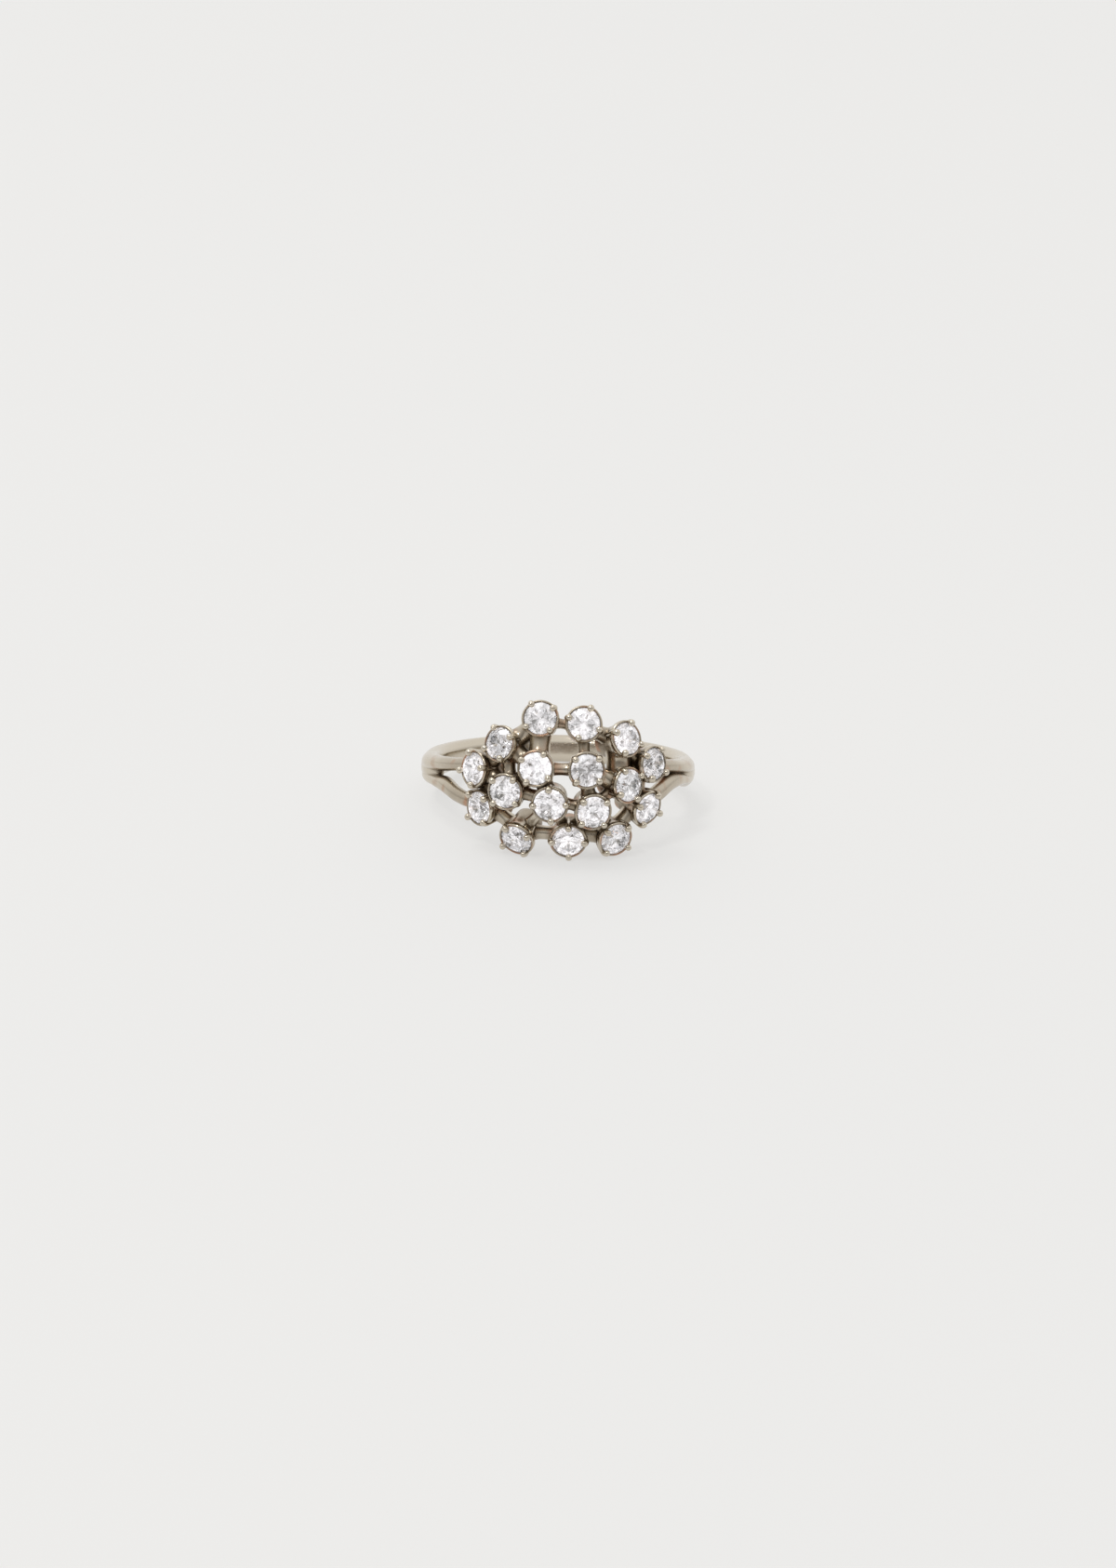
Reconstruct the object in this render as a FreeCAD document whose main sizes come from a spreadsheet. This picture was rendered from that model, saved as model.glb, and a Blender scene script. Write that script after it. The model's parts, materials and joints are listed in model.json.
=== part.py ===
"""Cluster ring: seventeen claw-set round stones on a shank with forked shoulders.

The ring is drawn in its own frame first: the finger's axis is Z, the stones face -Y and X runs
across the finger. It is then laid down as it rests, on its lower cups and the back of the shank,
with the floor at Z = 0 and the origin under the middle of its box.
"""
import FreeCAD, Part
import math
import os

import Sketcher

V = FreeCAD.Vector

# Driving sizes, in millimetres and degrees
SIZES = {
    # finger hole, and the wider room that the cups' feet leave round it
    "finger_radius": 8.5,
    "feet_radius": 8.72,
    "finger_length": 16.0,
    # stone: a round brilliant
    "stone_radius": 1.15,
    "girdle_height": 0.09,
    "table_radius": 0.655,
    "crown_slope": 34.5,
    "star_slope": 21.0,
    "upper_slope": 40.8,
    "pavilion_slope": 40.9,
    "lower_slope": 42.2,
    "culet_depth": 1.0,
    # cup: a tapering tube with a rim round the stone
    "rim_radius": 1.31,
    "rim_top": 0.05,
    "rim_low": -0.36,
    "neck_radius": 1.2,
    "neck_low": -0.48,
    "foot_radius": 0.86,
    "foot_level": -2.45,
    # claws
    "claw_count": 4,
    "claw_reach": 1.22,
    "claw_root_radius": 0.1,
    "claw_radius": 0.17,
    "claw_low": -1.35,
    "claw_height": 1.57,
    "bead_radius": 0.2,
    "bead_reach": 1.18,
    "bead_level": 0.22,
    # room cut for each stone, with the light hole below it
    "seat_radius": 1.18,
    "seat_top": 0.65,
    "seat_top_radius": 0.47,
    "seat_high": 0.045,
    "seat_low": -0.045,
    "hole_top_radius": 1.02,
    "hole_top": -0.19,
    "hole_foot_radius": 0.6,
    "hole_foot": -2.8,
    # bars between the cups
    "bar_radius": 0.4,
    "bar_depth": 1.15,
    # how the ring lies
    "rest_pitch": 10.54,
    "rest_roll": -0.25,
}

# Each stone: where the middle of its girdle is (across the finger, out from the finger's axis,
# up the finger), how its face leans (degrees to the right and upwards) and the claws' turn
STONE_COLUMNS = ("number", "across", "out", "up", "lean_side", "lean_up", "turn")
STONES = (
    (1, -1.34, 10.90, 5.53, -6, 20, 36),
    (2, 1.79, 10.90, 5.20, 5, 20, 67),
    (3, -4.23, 10.40, 3.57, -38, 16, 25),
    (4, 4.87, 10.40, 4.10, 40, 16, 63),
    (5, -6.07, 9.30, 1.51, -50, 6, 14),
    (6, -1.59, 12.00, 2.08, -10, 8, 59),
    (7, 2.06, 12.10, 2.04, 8, 8, 45),
    (8, 6.86, 9.30, 2.12, 49, 6, 55),
    (9, -3.75, 11.30, 0.23, -22, -2, 50),
    (10, 5.08, 10.70, 0.78, 40, 2, 30),
    (11, -5.62, 9.10, -1.37, -48, -3, 40),
    (12, -0.54, 12.20, -0.49, -6, -6, 5),
    (13, 2.59, 12.00, -1.00, 12, -8, 42),
    (14, 6.50, 9.10, -1.17, 46, -15, 70),
    (15, -2.89, 10.40, -3.38, -26, -28, 24),
    (16, 0.84, 10.90, -3.34, 0, -18, 3),
    (17, 4.24, 10.40, -3.22, 30, -16, 55),
)

# Cups that a short bar joins, by the numbers of their stones
BARS = (
    (1, 2), (1, 3), (1, 6), (2, 7), (2, 4), (3, 5), (3, 6), (4, 8), (4, 10),
    (5, 9), (5, 11), (6, 7), (6, 9), (6, 12), (7, 10), (7, 13), (8, 10), (8, 14),
    (9, 11), (9, 12), (9, 15), (10, 13), (10, 14), (11, 15), (12, 13), (12, 15),
    (12, 16), (13, 16), (13, 17), (14, 17), (15, 16), (16, 17),
)

# Oval sections of the shank and of the strands that it forks into: degrees round the finger from
# the middle of the back, height up the finger, radius of the oval's middle, half its thickness
# outwards and half its width along the finger. Each half of the shank has the same sections, and
# the right strands stand a little higher than the left.
OVAL_COLUMNS = ("from_back", "up", "middle", "half_thick", "half_wide")
SHANK = (
    (0, 0.0, 9.18, 0.80, 1.02),
    (22, 0.0, 9.18, 0.80, 1.02),
    (44, 0.0, 9.19, 0.81, 1.04),
    (64, 0.0, 9.20, 0.83, 1.08),
    (80, 0.02, 9.21, 0.84, 1.14),
    (92, 0.03, 9.21, 0.83, 1.10),
    (102, 0.06, 9.18, 0.66, 0.72),
    (109, 0.10, 9.12, 0.34, 0.36),
)
UPPER_LEFT = (
    (72, 0.25, 9.20, 0.72, 0.62),
    (88, 0.40, 9.21, 0.81, 0.74),
    (100, 0.58, 9.19, 0.82, 0.66),
    (110, 0.80, 9.14, 0.77, 0.56),
    (119, 0.98, 9.08, 0.71, 0.52),
    (129, 1.20, 9.02, 0.64, 0.48),
    (138, 1.45, 8.99, 0.59, 0.44),
    (144, 1.70, 8.97, 0.56, 0.40),
)
UPPER_RIGHT = (
    (72, 0.25, 9.20, 0.72, 0.62),
    (88, 0.42, 9.21, 0.81, 0.74),
    (100, 0.66, 9.19, 0.82, 0.64),
    (110, 0.94, 9.14, 0.77, 0.53),
    (119, 1.16, 9.08, 0.71, 0.50),
    (129, 1.36, 9.02, 0.64, 0.47),
    (138, 1.55, 8.99, 0.59, 0.44),
    (144, 1.70, 8.97, 0.56, 0.40),
)
LOWER_LEFT = (
    (72, -0.30, 9.20, 0.68, 0.56),
    (88, -0.45, 9.21, 0.78, 0.62),
    (100, -0.52, 9.20, 0.76, 0.48),
    (110, -0.56, 9.20, 0.68, 0.38),
    (119, -0.72, 9.23, 0.60, 0.40),
    (129, -1.08, 9.32, 0.53, 0.41),
    (137, -1.24, 9.40, 0.48, 0.40),
    (142, -1.20, 9.42, 0.45, 0.38),
)
LOWER_RIGHT = (
    (72, -0.26, 9.20, 0.68, 0.56),
    (88, -0.34, 9.21, 0.78, 0.60),
    (100, -0.26, 9.20, 0.76, 0.44),
    (110, -0.14, 9.20, 0.68, 0.36),
    (119, -0.26, 9.23, 0.60, 0.40),
    (129, -0.82, 9.32, 0.53, 0.41),
    (137, -1.15, 9.40, 0.48, 0.40),
    (142, -1.18, 9.42, 0.45, 0.38),
)

# The brilliant's facets: sides of each ring of facets, turn in degrees, the cell with their slope,
# and whether they slope in above the girdle or below it
FACET_COLUMNS = ("name", "sides", "turn", "slope", "above")
FACETS = (
    ("mains", 8, 22.5, "crown_slope", True),
    ("stars", 8, 0.0, "star_slope", True),
    ("uppers", 16, 0.0, "upper_slope", True),
    ("pavilions", 8, 22.5, "pavilion_slope", False),
    ("lowers", 16, 0.0, "lower_slope", False),
)

doc = FreeCAD.newDocument("cluster_ring")

# Level of the table, worked out from the crown's slope
TABLE_LEVEL = (
    "(sizes.girdle_height / 2 + (sizes.stone_radius - sizes.table_radius)"
    " * tan(sizes.crown_slope))"
)


def rows(columns, table):
    """Gives each row of a table as a dictionary by column name."""
    return [dict(zip(columns, row)) for row in table]


def make_sheet():
    """Puts the driving sizes in a sheet, one alias to a cell."""
    sheet = doc.addObject("Spreadsheet::Sheet", "sizes")
    for line, (alias, value) in enumerate(SIZES.items(), start=1):
        sheet.set(f"A{line}", alias)
        sheet.set(f"B{line}", str(value))
        sheet.setAlias(f"B{line}", alias)
    doc.recompute()


def add(kind, name, **expressions):
    """Adds an object and binds its properties to cells of the sheet."""
    thing = doc.addObject(kind, name)
    for prop, expression in expressions.items():
        thing.setExpression(prop, expression)
    return thing


def origin_part(body, role):
    """Finds a plane or an axis of a body's own origin."""
    return next(part for part in body.Origin.OriginFeatures if part.Role == role)


def outline(body, name, corners):
    """Draws a closed outline in the XZ plane, each corner on an axis or bound to two cells."""
    sketch = body.newObject("Sketcher::SketchObject", name)
    sketch.AttachmentSupport = [(origin_part(body, "XZ_Plane"), "")]
    sketch.MapMode = "FlatFace"
    points = [V(SIZES.get(across, 0), SIZES.get(up, 0), 0) for across, up in corners]
    count = len(points)
    for i in range(count):
        sketch.addGeometry(Part.LineSegment(points[i], points[(i + 1) % count]), False)
    for i in range(count):
        sketch.addConstraint(Sketcher.Constraint("Coincident", i, 2, (i + 1) % count, 1))
    for i, (across, up) in enumerate(corners):
        for kind, cell, axis in (("DistanceX", across, -2), ("DistanceY", up, -1)):
            if cell:
                rule = sketch.addConstraint(
                    Sketcher.Constraint(kind, -1, 1, i, 1, SIZES[cell])
                )
                sketch.setExpression(f"Constraints[{rule}]", f"sizes.{cell}")
            else:
                sketch.addConstraint(Sketcher.Constraint("PointOnObject", i, 1, axis))
    return sketch


def turned_body(name, corners):
    """Makes a body by turning an outline once round the Z axis."""
    body = doc.addObject("PartDesign::Body", name)
    sketch = outline(body, name + "_outline", corners)
    turn = body.newObject("PartDesign::Revolution", name + "_turn")
    turn.Profile = sketch
    turn.ReferenceAxis = (sketch, ["V_Axis"])
    turn.Angle = 360.0
    return body


def seated_primitive(body, kind, name, across, up, **expressions):
    """Adds a primitive to a body, standing at a distance from its Z axis and at a level."""
    part = body.newObject(kind, name)
    part.AttachmentSupport = [(origin_part(body, "XY_Plane"), "")]
    part.MapMode = "FlatFace"
    part.setExpression("AttachmentOffset.Base.x", across)
    part.setExpression("AttachmentOffset.Base.z", up)
    for prop, expression in expressions.items():
        part.setExpression(prop, expression)
    return part


def make_cup():
    """A tapering cup with a rim and claws, its stone's girdle at Z = 0; it is bored later."""
    body = turned_body("cup", (
        (None, "rim_top"),
        ("rim_radius", "rim_top"),
        ("rim_radius", "rim_low"),
        ("neck_radius", "neck_low"),
        ("foot_radius", "foot_level"),
        (None, "foot_level"),
    ))
    shaft = seated_primitive(
        body, "PartDesign::AdditiveCone", "claw_shaft", "sizes.claw_reach", "sizes.claw_low",
        Radius1="sizes.claw_root_radius", Radius2="sizes.claw_radius",
        Height="sizes.claw_height",
    )
    bead = seated_primitive(
        body, "PartDesign::AdditiveSphere", "claw_bead", "sizes.bead_reach",
        "sizes.bead_level", Radius="sizes.bead_radius",
    )
    ring = body.newObject("PartDesign::PolarPattern", "claws")
    ring.Originals = [shaft, bead]
    ring.Axis = (origin_part(body, "Z_Axis"), [""])
    ring.Angle = 360.0
    ring.setExpression("Occurrences", "sizes.claw_count")
    body.Tip = ring
    return body


def make_seat():
    """The room cut in a cup: a seat a little larger than the stone, and the light hole."""
    return turned_body("seat", (
        (None, "seat_top"),
        ("seat_top_radius", "seat_top"),
        ("seat_radius", "seat_high"),
        ("seat_radius", "seat_low"),
        ("hole_top_radius", "hole_top"),
        ("hole_foot_radius", "hole_foot"),
        (None, "hole_foot"),
    ))


def make_facets(name, sides, turn, slope, above):
    """A frustum whose sides are one ring of facets, cut off at the table and the culet."""
    reach = "sizes.stone_radius"
    level = "sizes.girdle_height / 2"
    if sides == 16:
        reach = "sizes.stone_radius * cos(11.25)"
    if name == "stars":
        reach = "sizes.table_radius * cos(22.5)"
        level = TABLE_LEVEL
    sections = []
    for end, height in (("low", "-sizes.culet_depth"), ("high", TABLE_LEVEL)):
        if above:
            run = f"({height} - {level}) / tan(sizes.{slope})"
        else:
            run = f"(-{level} - {height}) / tan(sizes.{slope})"
        ring = add(
            "Part::RegularPolygon", f"{name}_{end}",
            Circumradius=f"({reach} - ({run})) / cos({180 / sides})",
        )
        ring.Polygon = sides
        ring.Placement.Rotation = FreeCAD.Rotation(V(0, 0, 1), turn)
        ring.setExpression("Placement.Base.z", height)
        sections.append(ring)
    frustum = doc.addObject("Part::Loft", name)
    frustum.Sections = sections
    frustum.Solid = True
    frustum.Ruled = True
    return frustum


def make_stone():
    """A round brilliant: its girdle's cylinder cut down by five rings of facets."""
    girdle = add(
        "Part::Cylinder", "girdle",
        Radius="sizes.stone_radius", Height=f"{TABLE_LEVEL} + sizes.culet_depth",
    )
    girdle.setExpression("Placement.Base.z", "-sizes.culet_depth")
    stone = doc.addObject("Part::MultiCommon", "brilliant")
    stone.Shapes = [girdle] + [make_facets(**row) for row in rows(FACET_COLUMNS, FACETS)]
    return stone


def facing(across, out, up, lean_side, lean_up, turn, **_):
    """Places a cup or a stone: its Z axis leans with the face, its X axis is the first claw's."""
    side = math.radians(lean_side)
    rise = math.radians(lean_up)
    face = V(
        math.sin(side) * math.cos(rise),
        -math.cos(side) * math.cos(rise),
        math.sin(rise),
    )
    right = V(0, 0, 1).cross(face).normalize()
    lean = FreeCAD.Rotation(right, face.cross(right), face, "ZXY")
    spin = FreeCAD.Rotation(V(0, 0, 1), turn)
    return FreeCAD.Placement(V(across, -out, up), lean.multiply(spin))


def copies(source, name, places):
    """Links one shape into every place, numbered."""
    made = []
    for number, place in places.items():
        link = doc.addObject("App::Link", f"{name}_{number:02d}")
        link.LinkedObject = source
        link.Placement = place
        made.append(link)
    return made


def make_rod(name, stations):
    """A rod lofted through ovals; each station is a side, 1 right or -1 left, and an oval's row."""
    up = V(0, 0, 1)
    flat = stations[0][1]["half_wide"] > stations[0][1]["half_thick"]
    ovals = []
    for count, (side, row) in enumerate(stations, start=1):
        angle = math.radians(row["from_back"])
        out = V(side * math.sin(angle), math.cos(angle), 0)
        oval = doc.addObject("Part::Ellipse", f"{name}_oval_{count}")
        if flat:
            oval.MajorRadius, oval.MinorRadius = row["half_wide"], row["half_thick"]
            turn = FreeCAD.Rotation(up, out, up.cross(out), "ZXY")
        else:
            oval.MajorRadius, oval.MinorRadius = row["half_thick"], row["half_wide"]
            turn = FreeCAD.Rotation(out, up, out.cross(up), "ZXY")
        oval.Placement = FreeCAD.Placement(out * row["middle"] + up * row["up"], turn)
        ovals.append(oval)
    rod = doc.addObject("Part::Loft", name)
    rod.Sections = ovals
    rod.Solid = True
    return rod


def make_shank():
    """The band, from one fork's tongue round the back to the other's."""
    half = rows(OVAL_COLUMNS, SHANK)
    stations = [(1, row) for row in reversed(half)] + [(-1, row) for row in half[1:]]
    return make_rod("shank", stations)


def make_strand(name, side, table):
    """One shoulder strand, from inside the band to its cup."""
    return make_rod(name, [(side, row) for row in rows(OVAL_COLUMNS, table)])


def make_bar(first, second, places):
    """A round bar from one cup's axis to another's, part of the way down the cups."""
    depth = V(0, 0, -SIZES["bar_depth"])
    start = places[first].multVec(depth)
    run = places[second].multVec(depth) - start
    bar = add("Part::Cylinder", f"bar_{first:02d}_{second:02d}", Radius="sizes.bar_radius")
    bar.Height = run.Length
    bar.Placement = FreeCAD.Placement(start, FreeCAD.Rotation(V(0, 0, 1), run))
    return bar


def make_cut(name, base, tool):
    """What is left of the base outside the tool."""
    cut = doc.addObject("Part::Cut", name)
    cut.Base = base
    cut.Tool = tool
    return cut


def make_fusion(name, shapes):
    """Shapes soldered into one."""
    fusion = doc.addObject("Part::MultiFuse", name)
    fusion.Shapes = shapes
    return fusion


def make_finger(name, radius):
    """A cylinder on the finger's axis."""
    finger = add("Part::Cylinder", name, Radius=radius, Height="sizes.finger_length")
    finger.setExpression("Placement.Base.z", "-sizes.finger_length / 2")
    return finger


def make_ring_mount(places):
    """All the soldered metal as one solid, bored for the stones and the finger."""
    cups = copies(make_cup(), "cup", places)
    bars = [make_bar(first, second, places) for first, second in BARS]
    feet_room = make_finger("feet_room", "sizes.feet_radius")
    cluster = make_cut("cluster", make_fusion("cups_and_bars", cups + bars), feet_room)

    pieces = [cluster, make_shank()]
    pieces.append(make_strand("upper_strand_left", -1, UPPER_LEFT))
    pieces.append(make_strand("upper_strand_right", 1, UPPER_RIGHT))
    pieces.append(make_strand("lower_strand_left", -1, LOWER_LEFT))
    pieces.append(make_strand("lower_strand_right", 1, LOWER_RIGHT))
    seats = doc.addObject("Part::Compound", "seats")
    seats.Links = copies(make_seat(), "seat", places)
    bored = make_cut("bored", make_fusion("soldered", pieces), seats)
    return make_cut("ring_mount", bored, make_finger("finger", "sizes.finger_radius"))


def lay_down(parts):
    """Tips the ring over onto its cups and its back, with the origin under its box's middle."""
    pitch = FreeCAD.Rotation(V(1, 0, 0), -SIZES["rest_pitch"])
    roll = FreeCAD.Rotation(V(0, 1, 0), SIZES["rest_roll"])
    tipped = FreeCAD.Placement(V(), roll.multiply(pitch))
    for part in parts:
        part.Placement = tipped.multiply(part.Placement)
    doc.recompute()
    box = Part.makeCompound([Part.getShape(part) for part in parts])
    box = box.optimalBoundingBox(True, False)
    shift = FreeCAD.Placement(V(-box.Center.x, -box.Center.y, -box.ZMin), FreeCAD.Rotation())
    for part in parts:
        part.Placement = shift.multiply(part.Placement)
    doc.recompute()


def check(parts):
    """Stops if any step failed or any piece isn't one valid solid."""
    for thing in doc.Objects:
        if {"Invalid", "Error"} & set(thing.State):
            raise RuntimeError(f"{thing.Name}: {thing.State}")
    for part in parts:
        shape = Part.getShape(part)
        if shape.isNull() or not shape.isValid() or len(shape.Solids) != 1:
            raise RuntimeError(f"{part.Label} is not one valid solid")
        print(part.Label, round(shape.Volume, 4), "mm3")


def write(parts):
    """Writes each piece to a file named after it."""
    os.makedirs("parts", exist_ok=True)
    for part in parts:
        Part.getShape(part).exportStep(f"parts/{part.Label}.step")


make_sheet()
PLACES = {row["number"]: facing(**row) for row in rows(STONE_COLUMNS, STONES)}
PARTS = [make_ring_mount(PLACES)] + copies(make_stone(), "stone", PLACES)
doc.recompute()
lay_down(PARTS)
check(PARTS)
write(PARTS)
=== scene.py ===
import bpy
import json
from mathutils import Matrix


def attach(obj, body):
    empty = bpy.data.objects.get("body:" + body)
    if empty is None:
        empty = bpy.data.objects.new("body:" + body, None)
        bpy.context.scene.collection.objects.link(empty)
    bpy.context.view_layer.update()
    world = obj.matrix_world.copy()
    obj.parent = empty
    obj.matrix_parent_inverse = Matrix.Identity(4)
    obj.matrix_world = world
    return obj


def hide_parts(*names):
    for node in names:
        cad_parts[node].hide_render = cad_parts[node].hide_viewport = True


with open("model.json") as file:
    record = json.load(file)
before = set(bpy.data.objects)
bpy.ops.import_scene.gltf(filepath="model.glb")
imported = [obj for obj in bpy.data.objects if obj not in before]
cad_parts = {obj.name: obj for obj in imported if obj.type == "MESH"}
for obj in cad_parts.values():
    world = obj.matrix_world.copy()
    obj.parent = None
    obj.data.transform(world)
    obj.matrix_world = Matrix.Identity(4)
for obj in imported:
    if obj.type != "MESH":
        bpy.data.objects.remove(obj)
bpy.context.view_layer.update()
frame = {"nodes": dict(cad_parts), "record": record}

import json
import math

import bpy
import numpy as np
from mathutils import Matrix, Vector

bl_info = {
    "name": "Cluster ring dress",
    "version": (1, 0, 0),
    "blender": (4, 5, 0),
    "location": "View3D > Sidebar > Ring",
    "description": "Dresses the cluster ring: band, strands, cups, claws, bars, stones and stage",
    "category": "Add Mesh",
}

MM = 0.001
ROOT = "root"

# The finger hole's mount gives the ring's own frame: Z along the finger, X across it
HOLE = next(m for m in frame["record"]["mounts"] if m["name"] == "finger_hole")
FINGER_RADIUS = HOLE["dims"]["r_mm"] * MM
# the hole's wall reaches further up the shoulders than down, so its middle is above the band's
WALL_MIDDLE_UP = 0.582 * MM
STONES = sorted(name for name in frame["nodes"] if name.startswith("stone_"))


def ring_frame():
    """The ring's frame as a 4x4 array: columns X, Y and Z of the ring and its origin."""
    up = np.array(HOLE["axis"], float)
    up /= np.linalg.norm(up)
    across = np.cross([0.0, 1.0, 0.0], up)
    across /= np.linalg.norm(across)
    placed = np.eye(4)
    placed[:3, 0] = across
    placed[:3, 1] = np.cross(up, across)
    placed[:3, 2] = up
    placed[:3, 3] = np.array(HOLE["pos_m"]) - up * WALL_MIDDLE_UP
    return placed


RING = ring_frame()

# Oval sections of the band and its strands, in millimetres: degrees round the finger from the
# middle of the back, height up the finger, radius of the middle, half thickness and half width
BAND = np.array((
    (0, 0.0, 9.18, 0.80, 1.02),
    (22, 0.0, 9.18, 0.80, 1.02),
    (44, 0.0, 9.19, 0.81, 1.04),
    (64, 0.0, 9.20, 0.83, 1.08),
    (80, 0.02, 9.21, 0.84, 1.14),
    (92, 0.03, 9.21, 0.83, 1.10),
    (102, 0.06, 9.18, 0.66, 0.72),
    (109, 0.10, 9.12, 0.34, 0.36),
))
UPPER_LEFT = np.array((
    (72, 0.25, 9.20, 0.72, 0.62),
    (88, 0.40, 9.21, 0.81, 0.74),
    (100, 0.58, 9.19, 0.82, 0.66),
    (110, 0.80, 9.14, 0.77, 0.56),
    (119, 0.98, 9.08, 0.71, 0.52),
    (129, 1.20, 9.02, 0.64, 0.48),
    (138, 1.45, 8.99, 0.59, 0.44),
    (144, 1.70, 8.97, 0.56, 0.40),
))
UPPER_RIGHT = np.array((
    (72, 0.25, 9.20, 0.72, 0.62),
    (88, 0.42, 9.21, 0.81, 0.74),
    (100, 0.66, 9.19, 0.82, 0.64),
    (110, 0.94, 9.14, 0.77, 0.53),
    (119, 1.16, 9.08, 0.71, 0.50),
    (129, 1.36, 9.02, 0.64, 0.47),
    (138, 1.55, 8.99, 0.59, 0.44),
    (144, 1.70, 8.97, 0.56, 0.40),
))
LOWER_LEFT = np.array((
    (72, -0.30, 9.20, 0.68, 0.56),
    (88, -0.45, 9.21, 0.78, 0.62),
    (100, -0.52, 9.20, 0.76, 0.48),
    (110, -0.50, 9.20, 0.68, 0.46),
    (119, -0.56, 9.23, 0.60, 0.60),
    (129, -0.98, 9.32, 0.53, 0.56),
    (137, -1.20, 9.40, 0.49, 0.52),
    (142, -1.24, 9.42, 0.46, 0.48),
))
LOWER_RIGHT = np.array((
    (72, -0.26, 9.20, 0.68, 0.56),
    (88, -0.34, 9.21, 0.78, 0.60),
    (100, -0.26, 9.20, 0.76, 0.44),
    (110, 0.00, 9.20, 0.68, 0.50),
    (119, 0.00, 9.23, 0.62, 0.66),
    (129, -0.55, 9.32, 0.56, 0.68),
    (137, -0.98, 9.40, 0.50, 0.62),
    (142, -1.12, 9.42, 0.46, 0.54),
))

# Turn of each cup's first claw, in degrees from the cup's own right, by the stone's number
CLAW_TURNS = {
    1: 36, 2: 67, 3: 25, 4: 63, 5: 14, 6: 59, 7: 45, 8: 55, 9: 50,
    10: 30, 11: 40, 12: 5, 13: 42, 14: 70, 15: 24, 16: 3, 17: 55,
}

# Round bars that join the cups: the numbers of their stones and half the bar's thickness, in
# millimetres
BARS = (
    (1, 2, 0.35), (1, 3, 0.70), (1, 6, 0.75), (2, 4, 0.55), (2, 7, 0.42), (3, 5, 0.60),
    (3, 6, 0.65), (3, 9, 0.45), (4, 8, 0.60), (4, 10, 0.85), (5, 9, 0.65), (5, 11, 0.55),
    (6, 7, 0.45), (6, 9, 0.65), (6, 12, 0.60), (7, 10, 0.65), (7, 13, 0.50), (8, 10, 0.60),
    (8, 14, 0.35), (9, 11, 0.60), (9, 12, 0.45), (10, 13, 0.40), (10, 14, 0.55),
    (11, 15, 0.55), (12, 13, 0.40), (12, 15, 0.40), (12, 16, 0.40), (13, 16, 0.50),
    (13, 17, 0.60), (14, 17, 0.55), (15, 16, 0.50), (16, 17, 0.60),
)

# Profile of a cup in millimetres, round its wall: distance from its axis and height over the girdle
CUP_PROFILE = np.array((
    (1.285, 0.065), (1.225, 0.075), (1.190, 0.045), (1.183, -0.02), (1.165, -0.07), (1.03, -0.20),
    (1.00, -0.32), (0.95, -0.75), (0.88, -1.35), (0.80, -1.95), (0.755, -2.36), (0.76, -2.43),
    (0.81, -2.46), (0.95, -2.45), (1.00, -2.41), (1.015, -2.33), (1.06, -1.90), (1.115, -1.30),
    (1.165, -0.80), (1.20, -0.54), (1.235, -0.46), (1.31, -0.39), (1.345, -0.32), (1.360, -0.20),
    (1.360, -0.06), (1.335, 0.02),
))

# Rows of that profile, from its start, that are on the lip round the stone and on the inner wall
CUP_LIP_ROWS = 5
CUP_INNER_ROWS = 13

# A claw's wire in millimetres, from its root to its bead: distance from the cup's axis, height over
# the girdle and half thickness
CLAW_WIRE = np.array((
    (1.020, -1.50, 0.06),
    (1.090, -1.20, 0.12),
    (1.180, -0.80, 0.155),
    (1.255, -0.40, 0.17),
    (1.300, -0.08, 0.185),
    (1.280, 0.12, 0.20),
    (1.200, 0.25, 0.23),
    (1.150, 0.29, 0.225),
))

# The row of that wire from which its tip may be longer and thicker
CLAW_TIP_ROW = 4

# Where the bars meet the cups: depth below the girdle, and the wall there
BAR_DEPTH = 1.05 * MM
WALL_THERE = 1.03 * MM

# The band's mean reach from the finger's axis in millimetres, and the length of its and its strands'
# round ends
BAND_REACH = 9.2
BAND_END = 0.25 * MM

# Degrees from the middle of the back where the band starts to darken, and over which it darkens
DARKEN_STARTS = 93
DARKEN_RUN = 32

# Points along each wire and round it, and round a cup
BAND_GRID = (220, 48)
STRAND_GRID = (56, 32)
CLAW_GRID = (22, 14)
BAR_GRID = (15, 24)
CUP_AROUND = 80

# Angles up a dome of the rings of points that close a tube's round end
DOME_TURNS = np.radians([30.0, 55.0, 75.0, 86.0])

# The lowest height of any metal over the floor, the floor's half width, and the camera's sensor
FLOOR_GAP = 0.002 * MM
FLOOR_HALF = 3.0
SENSOR_HEIGHT = 36.0

# The lamps: name, the property with the power, width and place
LAMPS = (
    ("soft_lamp", "lamp_power", 0.3, (-0.25, 0.15, 0.75)),
    ("glint_lamp", "glint_power", 0.07, (-0.22, -0.28, 0.48)),
)
LAMP_COLOUR = (1.0, 0.985, 0.96)

# Waves to the metre of the metal's clouds, pits and stains, of the stones' tint and of the floor's
# mottling, and cells to the metre of the stones' painted flashes, with the move that spreads these
# evenly
CLOUD_WAVES = 420.0
PIT_WAVES = 5200.0
STAIN_WAVES = 700.0
TINT_WAVES = 900.0
MOTTLE_WAVES = 9.0
FLASH_CELLS = 1500.0
FLASH_MOVE = (0.0, 0.021, 0.007)

# How brushed lines are drawn out along the wire, how far the painted shade looks for a crease,
# the softness of edges and the depth of the skin's relief
BRUSH_STRETCH = (0.7, 16.0, 1.0)
CREASE_SHADE_REACH = 0.7 * MM
SOFT_EDGE = 0.06 * MM
SKIN_DEPTH = 0.012 * MM

# Cosine of the angle between two faces over which they look the same way
SAME_WAY = 0.9999

# The stone's table over its girdle's middle, and the room that the cups' feet leave the finger
TABLE_LEVEL = 0.385 * MM
FEET_RADIUS = 8.72 * MM


def to_row(points):
    """Takes points from the ring's frame to the row's."""
    return points @ RING[:3, :3].T + RING[:3, 3]


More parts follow.
